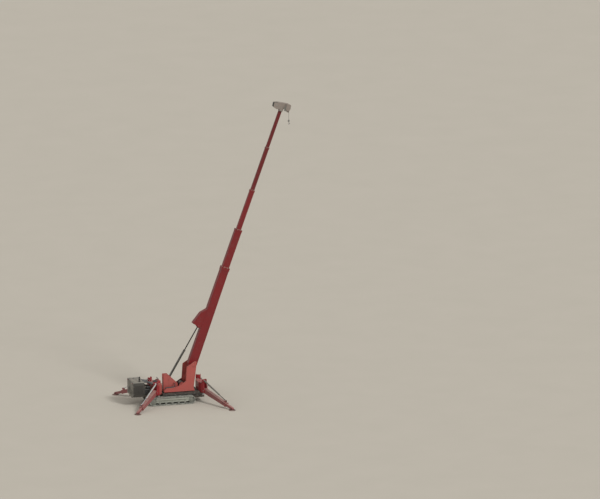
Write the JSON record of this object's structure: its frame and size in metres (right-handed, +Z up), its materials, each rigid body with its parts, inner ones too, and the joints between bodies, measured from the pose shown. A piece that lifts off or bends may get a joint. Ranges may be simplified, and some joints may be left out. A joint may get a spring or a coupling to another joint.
{
  "type": "spider crane",
  "caption": "Compact telescopic crane on two crawler tracks, standing on splayed outrigger legs, with a slewing turret, luffing cylinder, power pack and hook.",
  "frame": {"origin": "on the ground on the slew axis", "axes": "+X along the tracks to the side that the boom leans to, +Y to the far side, +Z up"},
  "size_m": [10.1864, 6.3582, 17.6905],
  "materials": {
    "boom_red": "gloss",
    "leg_red": "gloss",
    "turret_red": "satin",
    "deck_dark": "satin",
    "frame_grey": "satin",
    "track_grey": "matt",
    "roller_steel": "matt",
    "pack_grey": "satin",
    "engine_iron": "matt",
    "exhaust_black": "matt",
    "cylinder_silver": "satin",
    "rod_chrome": "polished",
    "head_beige": "satin",
    "sheave_grey": "matt",
    "hook_steel": "worn"
  },
  "bodies": {
    "chassis": {"chassis_frame": "frame_grey", "deck": "deck_dark", "pedestal_left": "turret_red", "pedestal_right": "turret_red", "track_frames": "roller_steel", "track_loop_near": "track_grey", "track_loop_far": "track_grey", "power_pack_housing": "pack_grey", "engine_block": "engine_iron", "hydraulic_tank": "frame_grey", "exhaust_pipe": "exhaust_black", "control_valves": "frame_grey"},
    "turret": {"turret_frame": "turret_red", "winch_motor": "engine_iron"},
    "drum": {"winch_drum": "roller_steel"},
    "boom": {"boom_base": "boom_red", "luff_hood": "boom_red"},
    "section_2": {"boom_section_2": "boom_red"},
    "section_3": {"boom_section_3": "boom_red"},
    "section_4": {"boom_section_4": "boom_red"},
    "section_5": {"boom_section_5": "boom_red", "boom_head": "head_beige"},
    "fall_wheel": {"fall_sheave": "sheave_grey"},
    "guide_wheel": {"guide_sheave": "sheave_grey"},
    "hook_fall": {"hook_block": "hook_steel"},
    "load_hook": {"hook": "hook_steel"},
    "luff_cylinder": {"luff_barrel": "cylinder_silver"},
    "luff_piston": {"luff_rod": "rod_chrome"},
    "outrigger_near_right_swing": {"outrigger_near_right_bracket": "leg_red"},
    "outrigger_near_right_arm": {"outrigger_near_right_leg": "leg_red"},
    "outrigger_near_right_slide": {"outrigger_near_right_foot": "leg_red"},
    "outrigger_near_right_jack": {"outrigger_near_right_cylinder": "cylinder_silver"},
    "outrigger_near_right_piston": {"outrigger_near_right_rod": "rod_chrome"},
    "outrigger_far_right_swing": {"outrigger_far_right_bracket": "leg_red"},
    "outrigger_far_right_arm": {"outrigger_far_right_leg": "leg_red"},
    "outrigger_far_right_slide": {"outrigger_far_right_foot": "leg_red"},
    "outrigger_far_right_jack": {"outrigger_far_right_cylinder": "cylinder_silver"},
    "outrigger_far_right_piston": {"outrigger_far_right_rod": "rod_chrome"},
    "outrigger_near_left_swing": {"outrigger_near_left_bracket": "leg_red"},
    "outrigger_near_left_arm": {"outrigger_near_left_leg": "leg_red"},
    "outrigger_near_left_slide": {"outrigger_near_left_foot": "leg_red"},
    "outrigger_near_left_jack": {"outrigger_near_left_cylinder": "cylinder_silver"},
    "outrigger_near_left_piston": {"outrigger_near_left_rod": "rod_chrome"},
    "outrigger_far_left_swing": {"outrigger_far_left_bracket": "leg_red"},
    "outrigger_far_left_arm": {"outrigger_far_left_leg": "leg_red"},
    "outrigger_far_left_slide": {"outrigger_far_left_foot": "leg_red"},
    "outrigger_far_left_jack": {"outrigger_far_left_cylinder": "cylinder_silver"},
    "outrigger_far_left_piston": {"outrigger_far_left_rod": "rod_chrome"}
  },
  "joints": [
    {"name": "slew", "type": "hinge", "parent": "chassis", "child": "turret", "pos_m": [0, 0, 0.69], "axis": [0, 0, 1], "continuous": true},
    {"name": "winch_drum_spin", "type": "hinge", "parent": "turret", "child": "drum", "pos_m": [0.22, 0, 1.085], "axis": [0, 1, 0], "continuous": true},
    {"name": "luff", "type": "hinge", "parent": "turret", "child": "boom", "pos_m": [0.85, 0, 2.22], "axis": [0, -1, 0], "range_deg": [-6, 70]},
    {"name": "section_2_slide", "type": "slide", "parent": "boom", "child": "section_2", "axis": [0.342, 0, 0.9397], "range_m": [-2.24, 2]},
    {"name": "section_3_slide", "type": "slide", "parent": "section_2", "child": "section_3", "axis": [0.342, 0, 0.9397], "range_m": [-2.3498, 2.098]},
    {"name": "section_4_slide", "type": "slide", "parent": "section_3", "child": "section_4", "axis": [0.342, 0, 0.9397], "range_m": [-2.5492, 2.276]},
    {"name": "section_5_slide", "type": "slide", "parent": "section_4", "child": "section_5", "axis": [0.342, 0, 0.9397], "range_m": [-2.2692, 2.026]},
    {"name": "fall_sheave_spin", "type": "hinge", "parent": "section_5", "child": "fall_wheel", "pos_m": [6.59573, -0.28, 17.30455], "axis": [0, 1, 0], "continuous": true},
    {"name": "guide_sheave_spin", "type": "hinge", "parent": "section_5", "child": "guide_wheel", "pos_m": [6.03107, 0, 17.53668], "axis": [0, 1, 0], "continuous": true},
    {"name": "hook_plumb", "type": "hinge", "parent": "section_5", "child": "hook_fall", "pos_m": [6.59573, -0.28, 17.30455], "axis": [0, -1, 0], "range_deg": [-70, 6]},
    {"name": "hook_swivel", "type": "hinge", "parent": "hook_fall", "child": "load_hook", "pos_m": [6.73373, -0.28, 16.52455], "axis": [0, 0, 1], "continuous": true},
    {"name": "luff_cylinder_pivot", "type": "hinge", "parent": "turret", "child": "luff_cylinder", "pos_m": [-0.553, 0, 1.4], "axis": [0, -1, 0], "range_deg": [-4.01, 46.63]},
    {"name": "luff_rod_slide", "type": "slide", "parent": "luff_cylinder", "child": "luff_piston", "axis": [0.5085, 0, 0.861], "range_m": [-1.4296, 0.1227]},
    {"name": "outrigger_near_right_swing_hinge", "type": "hinge", "parent": "chassis", "child": "outrigger_near_right_swing", "pos_m": [1.376, -0.489, 0.72], "axis": [0, 0, 1], "range_deg": [-24.2, 54.8]},
    {"name": "outrigger_near_right_lift", "type": "hinge", "parent": "outrigger_near_right_swing", "child": "outrigger_near_right_arm", "pos_m": [1.47967, -0.71649, 0.72], "axis": [-0.91, -0.4147, 0], "range_deg": [0, 60]},
    {"name": "outrigger_near_right_reach", "type": "slide", "parent": "outrigger_near_right_arm", "child": "outrigger_near_right_slide", "axis": [0.4023, -0.8828, -0.2424], "range_m": [-0.35, 0]},
    {"name": "outrigger_near_right_jack_pivot", "type": "hinge", "parent": "outrigger_near_right_swing", "child": "outrigger_near_right_jack", "pos_m": [1.45479, -0.66189, 1.29], "axis": [-0.91, -0.4147, 0], "range_deg": [-0.01, 58.51]},
    {"name": "outrigger_near_right_jack_slide", "type": "slide", "parent": "outrigger_near_right_jack", "child": "outrigger_near_right_piston", "axis": [0.3814, -0.8368, -0.3927], "range_m": [-0.5709, 0.0002]},
    {"name": "outrigger_far_right_swing_hinge", "type": "hinge", "parent": "chassis", "child": "outrigger_far_right_swing", "pos_m": [1.376, 0.489, 0.72], "axis": [0, 0, -1], "range_deg": [-24.2, 54.8]},
    {"name": "outrigger_far_right_lift", "type": "hinge", "parent": "outrigger_far_right_swing", "child": "outrigger_far_right_arm", "pos_m": [1.47967, 0.71649, 0.72], "axis": [0.91, -0.4147, 0], "range_deg": [0, 60]},
    {"name": "outrigger_far_right_reach", "type": "slide", "parent": "outrigger_far_right_arm", "child": "outrigger_far_right_slide", "axis": [0.4023, 0.8828, -0.2424], "range_m": [-0.35, 0]},
    {"name": "outrigger_far_right_jack_pivot", "type": "hinge", "parent": "outrigger_far_right_swing", "child": "outrigger_far_right_jack", "pos_m": [1.45479, 0.66189, 1.29], "axis": [0.91, -0.4147, 0], "range_deg": [-0.01, 58.51]},
    {"name": "outrigger_far_right_jack_slide", "type": "slide", "parent": "outrigger_far_right_jack", "child": "outrigger_far_right_piston", "axis": [0.3814, 0.8368, -0.3927], "range_m": [-0.5709, 0.0002]},
    {"name": "outrigger_near_left_swing_hinge", "type": "hinge", "parent": "chassis", "child": "outrigger_near_left_swing", "pos_m": [-1.373, -0.523, 0.8], "axis": [0, 0, -1], "range_deg": [-42, 21]},
    {"name": "outrigger_near_left_lift", "type": "hinge", "parent": "outrigger_near_left_swing", "child": "outrigger_near_left_arm", "pos_m": [-1.54028, -0.70879, 0.8], "axis": [-0.7431, 0.6691, 0], "range_deg": [0, 60]},
    {"name": "outrigger_near_left_reach", "type": "slide", "parent": "outrigger_near_left_arm", "child": "outrigger_near_left_slide", "axis": [-0.6408, -0.7117, -0.2877], "range_m": [-0.35, 0]},
    {"name": "outrigger_near_left_jack_pivot", "type": "hinge", "parent": "outrigger_near_left_swing", "child": "outrigger_near_left_jack", "pos_m": [-1.50013, -0.6642, 1.29], "axis": [-0.7431, 0.6691, 0], "range_deg": [-0.01, 58.21]},
    {"name": "outrigger_near_left_jack_slide", "type": "slide", "parent": "outrigger_near_left_jack", "child": "outrigger_near_left_piston", "axis": [-0.6121, -0.6798, -0.4039], "range_m": [-0.4882, 0.0002]},
    {"name": "outrigger_far_left_swing_hinge", "type": "hinge", "parent": "chassis", "child": "outrigger_far_left_swing", "pos_m": [-1.373, 0.523, 0.8], "axis": [0, 0, 1], "range_deg": [-42, 21]},
    {"name": "outrigger_far_left_lift", "type": "hinge", "parent": "outrigger_far_left_swing", "child": "outrigger_far_left_arm", "pos_m": [-1.54028, 0.70879, 0.8], "axis": [0.7431, 0.6691, 0], "range_deg": [0, 60]},
    {"name": "outrigger_far_left_reach", "type": "slide", "parent": "outrigger_far_left_arm", "child": "outrigger_far_left_slide", "axis": [-0.6408, 0.7117, -0.2877], "range_m": [-0.35, 0]},
    {"name": "outrigger_far_left_jack_pivot", "type": "hinge", "parent": "outrigger_far_left_swing", "child": "outrigger_far_left_jack", "pos_m": [-1.50013, 0.6642, 1.29], "axis": [0.7431, 0.6691, 0], "range_deg": [-0.01, 58.21]},
    {"name": "outrigger_far_left_jack_slide", "type": "slide", "parent": "outrigger_far_left_jack", "child": "outrigger_far_left_piston", "axis": [-0.6121, 0.6798, -0.4039], "range_m": [-0.4882, 0.0002]}
  ],
  "couplings": [
    {"joint": "section_3_slide", "follows": "section_2_slide", "ratio": 1.049},
    {"joint": "section_4_slide", "follows": "section_2_slide", "ratio": 1.138},
    {"joint": "section_5_slide", "follows": "section_2_slide", "ratio": 1.013},
    {"joint": "hook_plumb", "follows": "luff", "ratio": -1},
    {"joint": "luff_cylinder_pivot", "follows": "luff", "ratio": 0.666},
    {"joint": "luff_rod_slide", "follows": "luff", "m_per_rad": -1.17},
    {"joint": "outrigger_near_right_jack_pivot", "follows": "outrigger_near_right_lift", "ratio": 0.975},
    {"joint": "outrigger_near_right_jack_slide", "follows": "outrigger_near_right_lift", "m_per_rad": -0.545},
    {"joint": "outrigger_far_right_jack_pivot", "follows": "outrigger_far_right_lift", "ratio": 0.975},
    {"joint": "outrigger_far_right_jack_slide", "follows": "outrigger_far_right_lift", "m_per_rad": -0.545},
    {"joint": "outrigger_near_left_jack_pivot", "follows": "outrigger_near_left_lift", "ratio": 0.97},
    {"joint": "outrigger_near_left_jack_slide", "follows": "outrigger_near_left_lift", "m_per_rad": -0.466},
    {"joint": "outrigger_far_left_jack_pivot", "follows": "outrigger_far_left_lift", "ratio": 0.97},
    {"joint": "outrigger_far_left_jack_slide", "follows": "outrigger_far_left_lift", "m_per_rad": -0.466}
  ]
}
